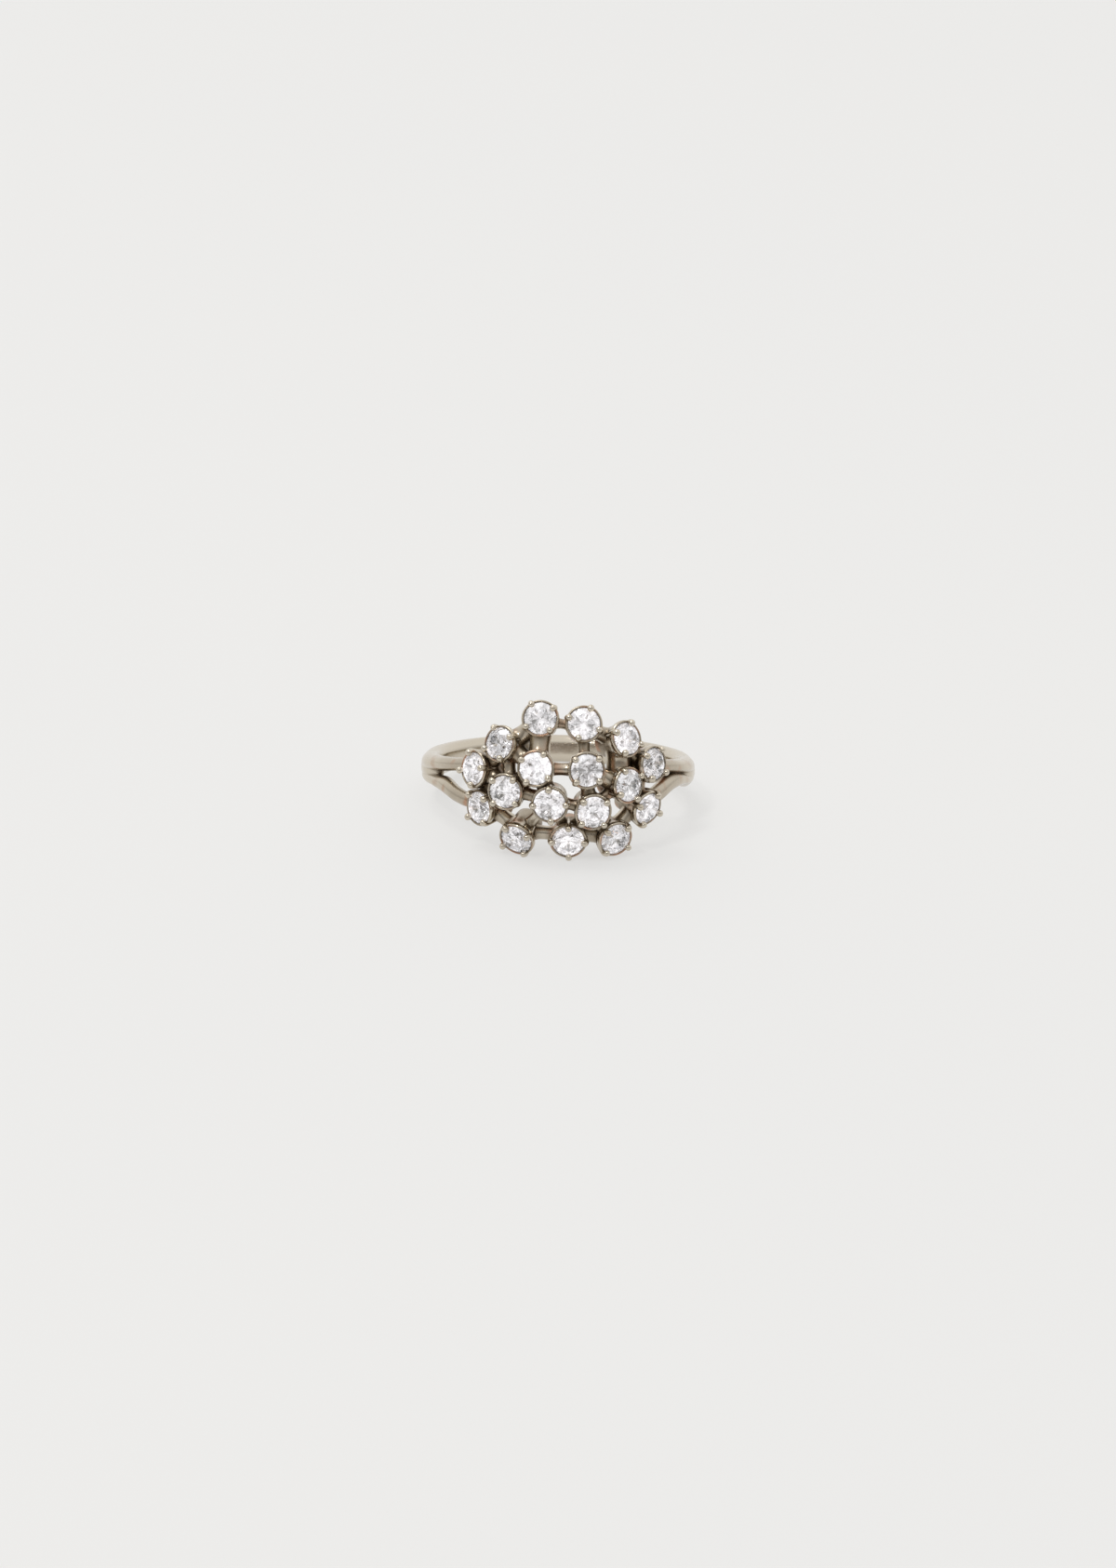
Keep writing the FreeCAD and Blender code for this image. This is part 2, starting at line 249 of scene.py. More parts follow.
def smooth_through(at, stations, values):
    """Reads rows of values between stations: a cubic on each span, whose slopes at its ends are the
    slopes of the values across the neighbouring stations."""
    slopes = np.gradient(values, stations, axis=0)
    left = np.clip(np.searchsorted(stations, at) - 1, 0, len(stations) - 2)
    span = (stations[left + 1] - stations[left])[:, None]
    t = (at - stations[left])[:, None] / span
    return (
        (1 + 2 * t) * (1 - t) ** 2 * values[left]
        + t * (1 - t) ** 2 * span * slopes[left]
        + t**2 * (3 - 2 * t) * values[left + 1]
        + t**2 * (t - 1) * span * slopes[left + 1]
    )


def held_out(points, radius, soft):
    """Pushes points out to a radius from the finger's axis. The distance r becomes
    (r + radius + sqrt((r - radius)^2 + 4 soft^2)) / 2, so the edge of the flat is a round one."""
    reach = np.linalg.norm(points[..., :2], axis=-1, keepdims=True)
    pushed = 0.5 * (reach + radius + np.sqrt((reach - radius) ** 2 + 4 * soft**2))
    return np.concatenate([points[..., :2] * pushed / reach, points[..., 2:]], axis=-1)


def domed_ends(rows, length):
    """Closes both ends of a tube's rows with a round dome: each added ring is the end ring shrunk to
    cos(a) of its size and moved sin(a) of the dome's length along the tube."""
    ends = []
    for edge, inner in ((rows[0], rows[1]), (rows[-1], rows[-2])):
        middle = edge.mean(axis=0)
        along = middle - inner.mean(axis=0)
        along /= np.linalg.norm(along)
        ends.append([
            middle + (edge - middle) * math.cos(turn) + along * length * math.sin(turn)
            for turn in DOME_TURNS
        ])
    return np.concatenate([np.array(ends[0][::-1]), rows, np.array(ends[1])])


def surface(rows, soil, grain, wraps=False):
    """A grid of points (along, round, 3), closed round; it wraps along too, or has a point at each
    end. Soil and shade (along, round) is the dirt and painted shade in it, and grain (along, round, 2)
    its brushed coordinates. Gives its vertices, quads, triangles, soil and shade, and grain."""
    count, around = rows.shape[:2]
    first = np.arange(count if wraps else count - 1)[:, None]
    second = (first + 1) % count
    here = np.arange(around)[None, :]
    beside = (here + 1) % around
    quads = np.stack([
        first * around + here, first * around + beside,
        second * around + beside, second * around + here,
    ], axis=-1).reshape(-1, 4)
    points = rows.reshape(-1, 3)
    soil = soil.reshape(-1)
    grain = grain.reshape(-1, 2)
    triangles = np.zeros((0, 3), int)
    if not wraps:
        low, high = len(points), len(points) + 1
        top = (count - 1) * around
        points = np.vstack([points, rows[0].mean(axis=0), rows[-1].mean(axis=0)])
        soil = np.append(soil, [soil[0], soil[-1]])
        grain = np.vstack([grain, grain[0], grain[-1]])
        ring = np.arange(around)
        after = (ring + 1) % around
        triangles = np.vstack([
            np.stack([np.full(around, low), after, ring], axis=-1),
            np.stack([np.full(around, high), top + ring, top + after], axis=-1),
        ])
    return points, quads, triangles, soil, grain


def facing_out(quads, triangles, points):
    """Turns all faces over if the signed volume that they close, one sixth of the sum of
    a . (b x c) over the triangles, is negative."""
    split = np.vstack([quads[:, [0, 1, 2]], quads[:, [0, 2, 3]], triangles])
    a, b, c = (points[split[:, i]] - points.mean(axis=0) for i in range(3))
    if np.einsum("ij,ij->", a, np.cross(b, c)) < 0:
        return quads[:, ::-1], triangles[:, ::-1]
    return quads, triangles


def mesh_object(name, surfaces):
    """Joins surfaces into one mesh object, in the row's frame, with soil, painted shade and grain on
    its points. What would dip below the floor is pressed flat just over it."""
    vertices, quads, triangles, soil_and_shade_parts, grains = [], [], [], [], []
    start = 0
    for points, four, three, soil, grain in surfaces:
        four, three = facing_out(four, three, points)
        vertices.append(to_row(points))
        quads.append(four + start)
        triangles.append(three + start)
        soil_and_shade_parts.append(soil)
        grains.append(grain)
        start += len(points)
    vertices, quads, triangles = np.vstack(vertices), np.vstack(quads), np.vstack(triangles)
    vertices[:, 2] = np.maximum(vertices[:, 2], FLOOR_GAP)
    mesh = bpy.data.meshes.new(name)
    mesh.vertices.add(len(vertices))
    mesh.vertices.foreach_set("co", vertices.astype(np.float32).ravel())
    corners = np.concatenate([quads.ravel(), triangles.ravel()]).astype(np.int32)
    starts = np.concatenate([
        np.arange(len(quads)) * 4,
        len(quads) * 4 + np.arange(len(triangles)) * 3,
    ]).astype(np.int32)
    mesh.loops.add(len(corners))
    mesh.loops.foreach_set("vertex_index", corners)
    mesh.polygons.add(len(starts))
    mesh.polygons.foreach_set("loop_start", starts)
    mesh.polygons.foreach_set("use_smooth", np.ones(len(starts), bool))
    mesh.update(calc_edges=True)
    mesh.attributes.new("soil", "FLOAT", "POINT").data.foreach_set(
        "value", np.concatenate(soil_and_shade_parts).astype(np.float32)
    )
    brushed = mesh.attributes.new("grain", "FLOAT_VECTOR", "POINT")
    flat = np.vstack(grains)
    brushed.data.foreach_set(
        "vector", np.column_stack([flat, np.zeros(len(flat))]).astype(np.float32).ravel()
    )
    if mesh.validate():
        raise RuntimeError(f"{name}: its mesh had faults")
    made = bpy.data.objects.new(name, mesh)
    bpy.context.scene.collection.objects.link(made)
    return made


def band_rod(table, low, high, grid, edge_round, side=1):
    """An oval carried round the finger. At angle a from the middle of the back its middle is at
    (side r sin a, r cos a, up), and a point at b round it is half_thick cos b further out and
    half_wide sin b higher; r, up, half_thick and half_wide are smooth through the table."""
    steps, around = grid
    angle = np.linspace(low, high, steps)
    up, middle, thick, wide = smooth_through(np.abs(angle), table[:, 0], table[:, 1:]).T * MM
    round_it = np.linspace(0, 2 * np.pi, around, endpoint=False)
    reach = middle[:, None] + thick[:, None] * np.cos(round_it)
    height = up[:, None] + wide[:, None] * np.sin(round_it)
    turn = np.radians(angle)[:, None]
    rows = np.stack([side * reach * np.sin(turn), reach * np.cos(turn), height], axis=-1)
    rows = held_out(domed_ends(rows, BAND_END), FINGER_RADIUS, edge_round)
    count = len(rows)
    along = np.linspace(low, high, count)[:, None] + np.zeros(around)
    grain = np.stack([np.radians(along) * BAND_REACH, np.zeros((count, 1)) + round_it], axis=-1)
    # Darker towards the cluster, cleaner towards the back
    soil = np.clip((np.abs(along) - DARKEN_STARTS) / DARKEN_RUN, -0.4, 1) * 0.7
    return surface(rows, soil, grain)


def stone_seat(name):
    """Reads a stone's place in the ring's frame from its mesh: its table is the flat patch with the
    largest area. Gives the girdle's middle and the unit vectors right, up and out of its cup."""
    mesh = frame["nodes"][name].data
    mesh.calc_loop_triangles()
    count = len(mesh.loop_triangles)
    corner = np.zeros(count * 3, np.int32)
    mesh.loop_triangles.foreach_get("vertices", corner)
    points = np.zeros(len(mesh.vertices) * 3, np.float32)
    mesh.vertices.foreach_get("co", points)
    points = (points.reshape(-1, 3) - RING[:3, 3]) @ RING[:3, :3]
    a, b, c = (points[corner.reshape(-1, 3)[:, i]] for i in range(3))
    cross = np.cross(b - a, c - a)
    area = np.linalg.norm(cross, axis=1)
    normal = cross / np.maximum(area, 1e-18)[:, None]
    alike = (normal @ normal.T > SAME_WAY) @ area
    out = normal[np.argmax(alike)].astype(float)
    patch = normal @ out > SAME_WAY
    table = np.average(((a + b + c) / 3)[patch], axis=0, weights=area[patch])
    right = np.cross([0.0, 0.0, 1.0], out)
    right /= np.linalg.norm(right)
    return table - out * TABLE_LEVEL, right, np.cross(out, right), out


def seats():
    """Every stone's seat by its number."""
    return {int(name.split("_")[1]): stone_seat(name) for name in STONES}


def in_cup(seat, reach, turn, height):
    """A point of a cup: reach from its axis at a turn from its right, and height over the girdle."""
    middle, right, up, out = seat
    return (
        middle
        + (reach * np.cos(turn))[..., None] * right
        + (reach * np.sin(turn))[..., None] * up
        + height[..., None] * out
    )


def cup_surface(seat, number, wave):
    """The profile turned round the cup's axis. Two slow sine waves make the wall a little uneven,
    1 part in 120 in radius, a third makes the rim rise and fall by a wave's height, and the feet are
    held out of the finger's room."""
    around = CUP_AROUND
    turn = np.linspace(0, 2 * np.pi, around, endpoint=False)
    phase = number * 2.4
    uneven = 1 + (np.sin(2 * turn + phase) + 0.6 * np.sin(5 * turn + 2 * phase)) / 190
    reach = CUP_PROFILE[:, :1] * MM * uneven
    height = CUP_PROFILE[:, 1:] * MM + np.zeros(around)
    height = height + wave * np.sin(3 * turn + phase) * (CUP_PROFILE[:, 1:] > -0.3)
    rows = in_cup(seat, reach, turn + np.zeros_like(reach), height)
    rows = held_out(rows, FEET_RADIUS, 0.02 * MM)
    # Soil and painted shade: darker at the lip round the stone, on the inner wall under the stone and
    # further down the cup
    depth = np.clip(-CUP_PROFILE[:, 1:] / 1.3, 0, 1)
    row = np.arange(len(CUP_PROFILE))[:, None]
    dirt_and_shade = np.where(row < CUP_LIP_ROWS, 0.9, np.where(row < CUP_INNER_ROWS, 0.5, 0.1))
    soil = np.clip(depth + dirt_and_shade, 0, 1) + np.zeros(around)
    grain = np.stack([turn + np.zeros_like(reach), height / MM], axis=-1)
    return surface(rows, soil, grain, wraps=True)


def claw_surface(seat, turn, lift, bead):
    """A round wire along the claw's path in a plane through the cup's axis: at each point a ring of
    the wire's half thickness stands square to the path. Lift and bead lengthen and swell its tip."""
    steps, around = CLAW_GRID
    at = np.linspace(0, len(CLAW_WIRE) - 1, steps)
    path = smooth_through(at, np.arange(len(CLAW_WIRE), dtype=float), CLAW_WIRE) * MM
    tip = np.clip((at - CLAW_TIP_ROW) / (len(CLAW_WIRE) - 1 - CLAW_TIP_ROW), 0, 1)[:, None]
    reach, height, half = (path + tip * np.array([0, lift, bead])).T
    slope = np.stack([np.gradient(reach), np.gradient(height)], axis=-1)
    slope /= np.linalg.norm(slope, axis=1, keepdims=True)
    round_it = np.linspace(0, 2 * np.pi, around, endpoint=False)
    aside = half[:, None] * np.sin(round_it)
    across = half[:, None] * np.cos(round_it)
    reach = reach[:, None] + across * slope[:, 1:]
    height = height[:, None] - across * slope[:, :1]
    middle, right, up, out = seat
    away = right * math.cos(turn) + up * math.sin(turn)
    sideways = np.cross(out, away)
    rows = (
        middle + reach[..., None] * away + height[..., None] * out + aside[..., None] * sideways
    )
    rows = domed_ends(rows, half[-1] * 0.9)
    count = len(rows)
    soil = np.clip(0.8 - np.linspace(0, 1, count) * 1.6, -0.6, 1)[:, None] + np.zeros(around)
    grain = np.zeros((count, around, 2)) + np.linspace(0, 1, count)[:, None, None]
    return surface(rows, soil, grain)


def bar_surface(first, second, thickness, swell, fillet):
    """A round bar between two cups' axes. It starts and ends on the cups' walls, where the distance
    along it is sqrt(wall^2 - aside^2) from the axis, and its half thickness grows by swell
    exp(-d / fillet) at a distance d from a wall, as solder does."""
    steps, around = BAR_GRID
    start = first[0] - first[3] * BAR_DEPTH
    finish = second[0] - second[3] * BAR_DEPTH
    run = finish - start
    length = np.linalg.norm(run)
    along = run / length
    side = np.cross(first[3] + second[3], along)
    side /= np.linalg.norm(side)
    rise = np.cross(along, side)
    round_it = np.linspace(0, 2 * np.pi, around, endpoint=False)
    share = 0.5 - 0.5 * np.cos(np.linspace(0, np.pi, steps))
    clear = length - 2 * WALL_THERE
    nearest = np.minimum(share, 1 - share) * clear
    near_wall = np.exp(-nearest / fillet)
    half = thickness + swell * near_wall
    aside = half[:, None] * np.cos(round_it)
    above = half[:, None] * np.sin(round_it)
    saddle = WALL_THERE - np.sqrt(np.maximum(WALL_THERE**2 - aside**2, 0))
    share = share[:, None]
    position = (
        WALL_THERE + share * clear - saddle * (1 - share) ** 3 + saddle * share**3
    )
    rows = (
        start
        + position[..., None] * along
        + aside[..., None] * side
        + above[..., None] * rise
    )
    soil = np.clip(0.35 + 0.65 * near_wall, 0, 1)[:, None] + np.zeros(around)
    grain = np.stack([position / MM, np.zeros((steps, 1)) + round_it], axis=-1)
    return surface(rows, soil, grain)


class Field:
    """A node's output with arithmetic: an expression on fields adds the Math nodes for it."""

    def __init__(self, recipe, socket):
        self.recipe = recipe
        self.socket = socket

    def math(self, operation, *others):
        values = dict(enumerate((self, *others)))
        return self.recipe.node("ShaderNodeMath", {"operation": operation}, values)

    def __add__(self, other):
        return self.math("ADD", other)

    __radd__ = __add__

    def __mul__(self, other):
        return self.math("MULTIPLY", other)

    __rmul__ = __mul__

    def __sub__(self, other):
        return self.math("SUBTRACT", other)

    def __rsub__(self, other):
        return (self * -1.0) + other

    def clamped(self):
        return self.math("MINIMUM", 1.0).math("MAXIMUM", 0.0)


class Recipe:
    """A material's or the world's node tree, with one method that makes any node."""

    def __init__(self, owner):
        owner.use_nodes = True
        self.tree = owner.node_tree
        self.tree.nodes.clear()

    def node(self, kind, settings=None, sockets=None, output=0):
        """Makes a node: settings first, then its sockets' values or links; gives one output."""
        made = self.tree.nodes.new(kind)
        for key, value in (settings or {}).items():
            setattr(made, key, value)
        for key, value in (sockets or {}).items():
            if isinstance(value, Field):
                self.tree.links.new(value.socket, made.inputs[key])
            else:
                made.inputs[key].default_value = value
        return Field(self, made.outputs[output]) if len(made.outputs) else None

    def noise(self, vector, scale, detail=3.0, roughness=0.5):
        """Noise at a number of waves to the metre."""
        return self.node(
            "ShaderNodeTexNoise", None,
            {"Vector": vector, "Scale": scale, "Detail": detail, "Roughness": roughness},
        )

    def mix(self, factor, first, second):
        """Mixes two colours by a factor."""
        return self.node(
            "ShaderNodeMix", {"data_type": "RGBA"}, {0: factor, 6: first, 7: second}, 2
        )


def colour(values):
    """A colour with full alpha."""
    return (*values, 1.0)


def white_gold(finish):
    """Unplated white gold, worn: warmer and duller with painted shade in creases and with soil and
    painted shade down the cups, with rosy stains by the solder, a cloudy sheen, brushed lines along
    the wire and a fine pitted skin."""
    material = bpy.data.materials.new("white_gold")
    recipe = Recipe(material)
    place = recipe.node("ShaderNodeTexCoord", output=3)
    soil = recipe.node("ShaderNodeAttribute", {"attribute_name": "soil"}, output=2)
    grain = recipe.node("ShaderNodeAttribute", {"attribute_name": "grain"}, output=1)
    # Painted shade: ambient occlusion darkens the metal in creases and between parts
    crease_shade = recipe.node(
        "ShaderNodeAmbientOcclusion", {"samples": 6, "only_local": True}, {"Distance": CREASE_SHADE_REACH}, 1
    )
    cloud = recipe.noise(place, CLOUD_WAVES)
    pits = recipe.noise(place, PIT_WAVES, 4.0, 0.6)
    stretched = recipe.node(
        "ShaderNodeVectorMath", {"operation": "MULTIPLY"}, {0: grain, 1: BRUSH_STRETCH}
    )
    lines = recipe.noise(stretched, 3.0, 5.0, 0.65)
    # The painted crease shade joins soil, cloud and wear in one mix towards the darker colour
    worn_and_shaded = ((cloud - 0.5) * 0.7 + soil * 0.75 + (0.85 - crease_shade) * 1.5).clamped()
    plain = recipe.mix(worn_and_shaded, colour(finish.metal_bright), colour(finish.metal_soiled_and_shaded))
    stain = ((recipe.noise(place, STAIN_WAVES, 2.0) - 0.53) * 6.0).clamped()
    base = recipe.mix((stain * soil * 1.6).clamped(), plain, colour(finish.metal_stain))
    rough = worn_and_shaded * 0.24 + (cloud * 0.10 + finish.metal_roughness) + (lines - 0.5) * 0.12
    height = lines * 0.5 + pits * 0.35
    soft_edges = recipe.node("ShaderNodeBevel", {"samples": 4}, {"Radius": SOFT_EDGE})
    bump = recipe.node(
        "ShaderNodeBump", None,
        {"Strength": 0.35, "Distance": SKIN_DEPTH, "Height": height, "Normal": soft_edges},
    )
    shader = recipe.node(
        "ShaderNodeBsdfPrincipled", None,
        {"Base Color": base, "Metallic": 1.0, "Roughness": rough.clamped(), "Normal": bump},
    )
    recipe.node("ShaderNodeOutputMaterial", None, {"Surface": shader})
    return material


def diamond(finish):
    """Clear diamond with its real index of refraction, faintly tinted. Painted glints stand in for its
    brightest facets: a cellular pattern of small patches that glow white or rosy."""
    material = bpy.data.materials.new("diamond")
    recipe = Recipe(material)
    place = recipe.node("ShaderNodeTexCoord", output=3)
    tint = recipe.noise(place, TINT_WAVES, 2.0)
    base = recipe.mix(tint, colour(finish.stone_cool), colour(finish.stone_warm))
    moved = recipe.node(
        "ShaderNodeVectorMath", {"operation": "ADD"}, {0: place, 1: FLASH_MOVE}
    )
    cells = recipe.node(
        "ShaderNodeTexVoronoi", {"feature": "F1"}, {"Vector": moved, "Scale": FLASH_CELLS}, 1
    )
    shade = recipe.node("ShaderNodeSeparateColor", None, {0: cells})
    # Painted glints: small patches of the stones glow white or rosy, though no lamp lights them
    painted_flash = ((shade - 0.69) * 9.0).clamped()
    painted_glint = recipe.mix(painted_flash, (0.0, 0.0, 0.0, 1.0), base)
    shader = recipe.node(
        "ShaderNodeBsdfPrincipled", None,
        {
            "Base Color": base, "Roughness": 0.0, "IOR": 2.417, "Transmission Weight": 1.0,
            "Emission Color": painted_glint, "Emission Strength": finish.stone_painted_flash,
        },
    )
    recipe.node("ShaderNodeOutputMaterial", None, {"Surface": shader})
    return material


def paper_floor(finish):
    """A matte pale sheet, very slightly mottled, lit a little from below like a light table."""
    material = bpy.data.materials.new("pale_floor")
    recipe = Recipe(material)
    place = recipe.node("ShaderNodeTexCoord", output=3)
    mottle = recipe.noise(place, MOTTLE_WAVES, 2.0)
    base = recipe.mix(mottle, colour(finish.floor_light), colour(finish.floor_shade))
    shader = recipe.node(
        "ShaderNodeBsdfPrincipled", None,
        {
            "Base Color": base, "Roughness": 0.9,
            "Emission Color": base, "Emission Strength": finish.floor_glow,
        },
    )
    recipe.node("ShaderNodeOutputMaterial", None, {"Surface": shader})
    return material


def room_light(finish):
    """Soft light from all round: bright above and behind, dim low down on the stones' side."""
    world = bpy.data.worlds.new("soft_room")
    bpy.context.scene.world = world
    recipe = Recipe(world)
    way = recipe.node("ShaderNodeTexCoord", output=0)
    back = recipe.node("ShaderNodeSeparateXYZ", None, {0: way}, 1)
    high = recipe.node("ShaderNodeSeparateXYZ", None, {0: way}, 2)
    lit = (back * 0.55 + high * 1.1 + 0.42).clamped()
    base = recipe.mix(lit, colour(finish.room_dim), colour(finish.room_bright))
    background = recipe.node(
        "ShaderNodeBackground", None, {"Color": base, "Strength": finish.room_strength}
    )
    recipe.node("ShaderNodeOutputWorld", None, {"Surface": background})


def hang_lamp(name, power, size, place):
    """A round soft lamp that looks at the ring."""
    lamp = bpy.data.lights.new(name, "AREA")
    lamp.shape = "DISK"
    lamp.size = size
    lamp.energy = power
    lamp.color = LAMP_COLOUR
    hung = bpy.data.objects.new(name, lamp)
    bpy.context.scene.collection.objects.link(hung)
    hung.location = place
    hung.rotation_euler = (-Vector(place)).to_track_quat("-Z", "Y").to_euler()


class RingShape(bpy.types.PropertyGroup):
    """Small sizes of the metalwork."""

    edge_round: bpy.props.FloatProperty(
        name="Edge round", description="How far the finger hole's wall rounds into the band's sides",
        default=0.035 * MM, min=0, max=0.2 * MM, unit="LENGTH",
    )
    cup_wave: bpy.props.FloatProperty(
        name="Cup wave", description="How far the cups' rims rise and fall",
        default=0.012 * MM, min=0, max=0.1 * MM, unit="LENGTH",
    )
    claw_wander: bpy.props.FloatProperty(
        name="Claw wander", description="How far a claw may stand from its place round the cup",
        default=math.radians(4.0), min=0, subtype="ANGLE",
    )
    claw_lift: bpy.props.FloatProperty(
        name="Claw lift", description="How much longer a claw may be than its plain wire",
        default=0.06 * MM, min=0, max=0.3 * MM, unit="LENGTH",
    )
    claw_bead: bpy.props.FloatProperty(
        name="Claw bead", description="How much thicker a claw's bead may be than its plain wire",
        default=0.05 * MM, min=0, max=0.2 * MM, unit="LENGTH",
    )
    bar_swell: bpy.props.FloatProperty(
        name="Solder swell", description="How much solder thickens a bar where it meets a cup",
        default=0.16 * MM, min=0, max=0.5 * MM, unit="LENGTH",
    )
    bar_fillet: bpy.props.FloatProperty(
        name="Solder run", description="How far solder runs along a bar from a cup",
        default=0.16 * MM, min=0.01 * MM, max=0.5 * MM, unit="LENGTH",
    )


class RingFinish(bpy.types.PropertyGroup):
    """Colours and gloss."""

    metal_bright: bpy.props.FloatVectorProperty(
        name="Metal, bright", description="White gold where it is rubbed clean",
        default=(0.635, 0.572, 0.474), size=3, subtype="COLOR", min=0, max=1,
    )
    # Painted shade: the metal also darkens to this colour in creases and down the cups
    metal_soiled_and_shaded: bpy.props.FloatVectorProperty(
        name="Metal, soiled", description="White gold where dirt and tarnish gather",
        default=(0.20, 0.149, 0.095), size=3, subtype="COLOR", min=0, max=1,
    )
    metal_stain: bpy.props.FloatVectorProperty(
        name="Metal, stained", description="Rosy brown patches by the solder",
        default=(0.47, 0.30, 0.205), size=3, subtype="COLOR", min=0, max=1,
    )
    metal_roughness: bpy.props.FloatProperty(
        name="Metal roughness", description="Roughness of clean metal",
        default=0.11, min=0.02, max=1, subtype="FACTOR",
    )
    stone_cool: bpy.props.FloatVectorProperty(
        name="Stone, cool", description="Cool side of the stones' tint",
        default=(0.93, 0.96, 1.0), size=3, subtype="COLOR", min=0, max=1,
    )
    stone_warm: bpy.props.FloatVectorProperty(
        name="Stone, warm", description="Warm side of the stones' tint",
        default=(1.0, 0.94, 0.95), size=3, subtype="COLOR", min=0, max=1,
    )
    # Painted glints: how brightly the stones' flash patches glow
    stone_painted_flash: bpy.props.FloatProperty(
        name="Stone flash", description="How bright the flashing facets are",
        default=0.24, min=0, max=1, subtype="FACTOR",
    )
    floor_light: bpy.props.FloatVectorProperty(
        name="Floor, light", description="The pale sheet",
        default=(0.236, 0.2342, 0.230), size=3, subtype="COLOR", min=0, max=1,
    )
    floor_shade: bpy.props.FloatVectorProperty(
        name="Floor, shade", description="The pale sheet's faint mottling",
        default=(0.2315, 0.231, 0.2293), size=3, subtype="COLOR", min=0, max=1,
    )
    floor_glow: bpy.props.FloatProperty(
        name="Floor glow", description="Light that the sheet gives of itself",
        default=2.40, min=0, max=10,
    )
    room_bright: bpy.props.FloatVectorProperty(
        name="Room, bright", description="Light from above and behind",
        default=(1.0, 0.995, 0.985), size=3, subtype="COLOR", min=0, max=1,
    )
    room_dim: bpy.props.FloatVectorProperty(
        name="Room, dim", description="Light from low on the stones' side",
        default=(0.21, 0.20, 0.185), size=3, subtype="COLOR", min=0, max=1,
    )
    room_strength: bpy.props.FloatProperty(
        name="Room strength", description="Strength of the light from all round",
        default=0.91, min=0, max=20,
    )


class RingView(bpy.types.PropertyGroup):
    """The camera and the main light."""

    distance: bpy.props.FloatProperty(
        name="Distance", description="From the camera to the ring",
        default=0.4, min=0.05, max=5, unit="LENGTH",
    )
    rise: bpy.props.FloatProperty(
        name="Rise", description="The camera's height over the band's own plane, as an angle",
        default=math.radians(10.0), subtype="ANGLE",
    )
    roll: bpy.props.FloatProperty(
        name="Roll", description="Turn of the picture",
        default=math.radians(1.2), subtype="ANGLE",
    )
    frame_height: bpy.props.FloatProperty(
        name="Frame height", description="Height of what the picture shows at the ring",
        default=0.11524, min=0.01, max=2, unit="LENGTH",
    )
    aim_below: bpy.props.FloatProperty(
        name="Aim below", description="How far below the band's middle the picture's middle is",
        default=0.0011, unit="LENGTH",
    )
    lamp_power: bpy.props.FloatProperty(
        name="Lamp", description="Power of the large soft lamp overhead",
        default=1.0, min=0, max=100, unit="POWER",
    )
    glint_power: bpy.props.FloatProperty(
        name="Glint lamp", description="Power of the small lamp high on the stones' side",
        default=0.5, min=0, max=100, unit="POWER",
    )


class RING_OT_stage(bpy.types.Operator):
    """Lays the pale floor, lights it softly and sets the camera"""

    bl_idname = "ring.stage"
    bl_label = "Stage"

    def execute(self, context):
        look, view = context.scene.ring_finish, context.scene.ring_view
        mesh = bpy.data.meshes.new("floor")
        corners = np.array([(-1, -1, 0), (1, -1, 0), (1, 1, 0), (-1, 1, 0)]) * FLOOR_HALF
        mesh.from_pydata(corners.tolist(), [], [(0, 1, 2, 3)])
        mesh.materials.append(paper_floor(look))
        floor = bpy.data.objects.new("floor", mesh)
        context.scene.collection.objects.link(floor)

        room_light(look)
        for name, power, size, place in LAMPS:
            hang_lamp(name, getattr(view, power), size, place)

        back = np.array([0.0, -math.cos(view.rise), math.sin(view.rise)])
        right = np.array([1.0, 0.0, 0.0])
        up = np.cross(back, right)
        rolled_right = right * math.cos(view.roll) + up * math.sin(view.roll)
        rolled_up = up * math.cos(view.roll) - right * math.sin(view.roll)
        axes = RING[:3, :3] @ np.column_stack([rolled_right, rolled_up, back])
        aim = RING[:3, 3] - axes[:, 1] * view.aim_below
        data = bpy.data.cameras.new("camera")
        data.sensor_fit = "VERTICAL"
        data.sensor_height = SENSOR_HEIGHT
        data.lens = data.sensor_height * view.distance / view.frame_height
        data.clip_start = 0.01
        data.clip_end = 20.0
        camera = bpy.data.objects.new("camera", data)
        context.scene.collection.objects.link(camera)
        placed = np.eye(4)
        placed[:3, :3] = axes
        placed[:3, 3] = aim + axes[:, 2] * view.distance
        camera.matrix_world = Matrix(placed.tolist())
        context.scene.camera = camera
        context.scene.view_settings.view_transform = "Standard"
        return {"FINISHED"}


class RING_OT_band(bpy.types.Operator):
    """Makes the band and the four strands that it forks into"""

    bl_idname = "ring.band"
    bl_label = "Band and strands"

    def execute(self, context):
        edge_round = context.scene.ring_shape.edge_round
        edge = BAND[-1, 0]
        surfaces = [band_rod(BAND, -edge, edge, BAND_GRID, edge_round)]
        for side, tables in ((1, (UPPER_RIGHT, LOWER_RIGHT)), (-1, (UPPER_LEFT, LOWER_LEFT))):
            for table in tables:
                low, high = table[0, 0], table[-1, 0]
                surfaces.append(band_rod(table, low, high, STRAND_GRID, edge_round, side))
        mesh_object("band", surfaces)
        return {"FINISHED"}


class RING_OT_cups(bpy.types.Operator):
    """Makes the cups round the stones, with their rims and light holes"""

    bl_idname = "ring.cups"
    bl_label = "Cups"

    def execute(self, context):
        wave = context.scene.ring_shape.cup_wave
        mesh_object("cups", [cup_surface(seat, n, wave) for n, seat in seats().items()])
        return {"FINISHED"}


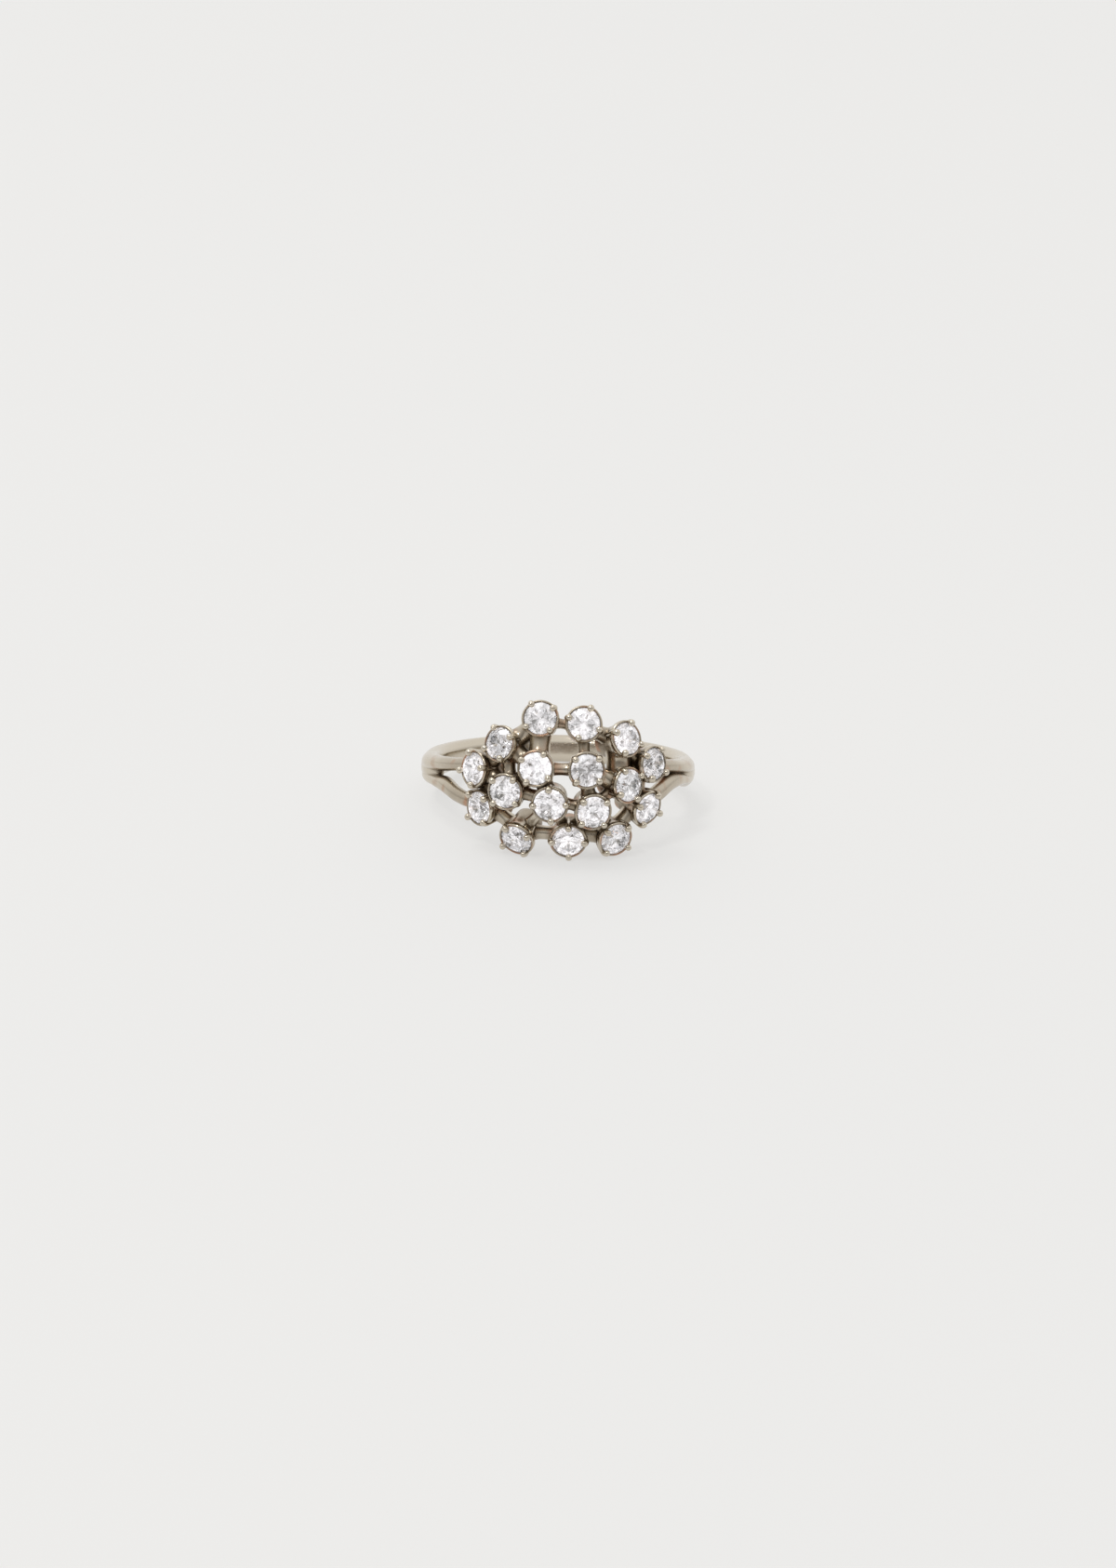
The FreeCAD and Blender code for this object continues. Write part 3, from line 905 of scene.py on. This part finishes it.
class RING_OT_claws(bpy.types.Operator):
    """Makes four claws on each cup, each a little unlike the next"""

    bl_idname = "ring.claws"
    bl_label = "Claws"

    def execute(self, context):
        shape = context.scene.ring_shape
        chance = np.random.default_rng(5)
        surfaces = []
        for number, seat in seats().items():
            for quarter in range(4):
                place = math.radians(CLAW_TURNS[number] + 90 * quarter)
                turn = place + chance.uniform(-1, 1) * shape.claw_wander
                lift = chance.uniform(-0.5, 1) * shape.claw_lift
                bead = chance.uniform(0, 1) * shape.claw_bead
                surfaces.append(claw_surface(seat, turn, lift, bead))
        mesh_object("claws", surfaces)
        return {"FINISHED"}


class RING_OT_bars(bpy.types.Operator):
    """Makes the soldered bars between the cups"""

    bl_idname = "ring.bars"
    bl_label = "Bars"

    def execute(self, context):
        shape = context.scene.ring_shape
        places = seats()
        surfaces = [
            bar_surface(
                places[first], places[second], half * MM, shape.bar_swell, shape.bar_fillet
            )
            for first, second, half in BARS
        ]
        mesh_object("bars", surfaces)
        return {"FINISHED"}


class RING_OT_solder(bpy.types.Operator):
    """Joins all the metal into one piece, in worn white gold, in place of the plain solid"""

    bl_idname = "ring.solder"
    bl_label = "Solder"

    def execute(self, context):
        parts = [bpy.data.objects[name] for name in ("band", "cups", "claws", "bars")]
        bpy.ops.object.select_all(action="DESELECT")
        for part in parts:
            part.select_set(True)
        context.view_layer.objects.active = parts[0]
        bpy.ops.object.join()
        metal = context.view_layer.objects.active
        metal.name = "ring_metal"
        metal.data.name = "ring_metal"
        metal.data.materials.clear()
        metal.data.materials.append(white_gold(context.scene.ring_finish))
        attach(metal, ROOT)
        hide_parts("ring_mount")
        return {"FINISHED"}


class RING_OT_stones(bpy.types.Operator):
    """Gives the stones their clear material"""

    bl_idname = "ring.stones"
    bl_label = "Stones"

    def execute(self, context):
        clear = diamond(context.scene.ring_finish)
        for name in STONES:
            mesh = frame["nodes"][name].data
            mesh.materials.clear()
            mesh.materials.append(clear)
        return {"FINISHED"}


class RING_PT_panel(bpy.types.Panel):
    """Lists the steps, sizes and finishes in the sidebar"""

    bl_idname = "RING_PT_panel"
    bl_label = "Cluster ring"
    bl_space_type = "VIEW_3D"
    bl_region_type = "UI"
    bl_category = "Ring"

    def draw(self, context):
        for step in STEPS:
            self.layout.operator(step.bl_idname)
        scene = context.scene
        for group in (scene.ring_shape, scene.ring_finish, scene.ring_view):
            for name in group.__annotations__:
                self.layout.prop(group, name)


STEPS = (
    RING_OT_stage, RING_OT_band, RING_OT_cups, RING_OT_claws, RING_OT_bars,
    RING_OT_solder, RING_OT_stones,
)
CLASSES = (RingShape, RingFinish, RingView, *STEPS, RING_PT_panel)


def register():
    for kind in CLASSES:
        bpy.utils.register_class(kind)
    bpy.types.Scene.ring_shape = bpy.props.PointerProperty(type=RingShape)
    bpy.types.Scene.ring_finish = bpy.props.PointerProperty(type=RingFinish)
    bpy.types.Scene.ring_view = bpy.props.PointerProperty(type=RingView)


def unregister():
    del bpy.types.Scene.ring_view
    del bpy.types.Scene.ring_finish
    del bpy.types.Scene.ring_shape
    for kind in reversed(CLASSES):
        bpy.utils.unregister_class(kind)


def main():
    """Registers the add-on and runs its steps in order."""
    register()
    bpy.ops.ring.stage()
    bpy.ops.ring.band()
    bpy.ops.ring.cups()
    bpy.ops.ring.claws()
    bpy.ops.ring.bars()
    bpy.ops.ring.solder()
    bpy.ops.ring.stones()


if __name__ == "__main__":
    main()
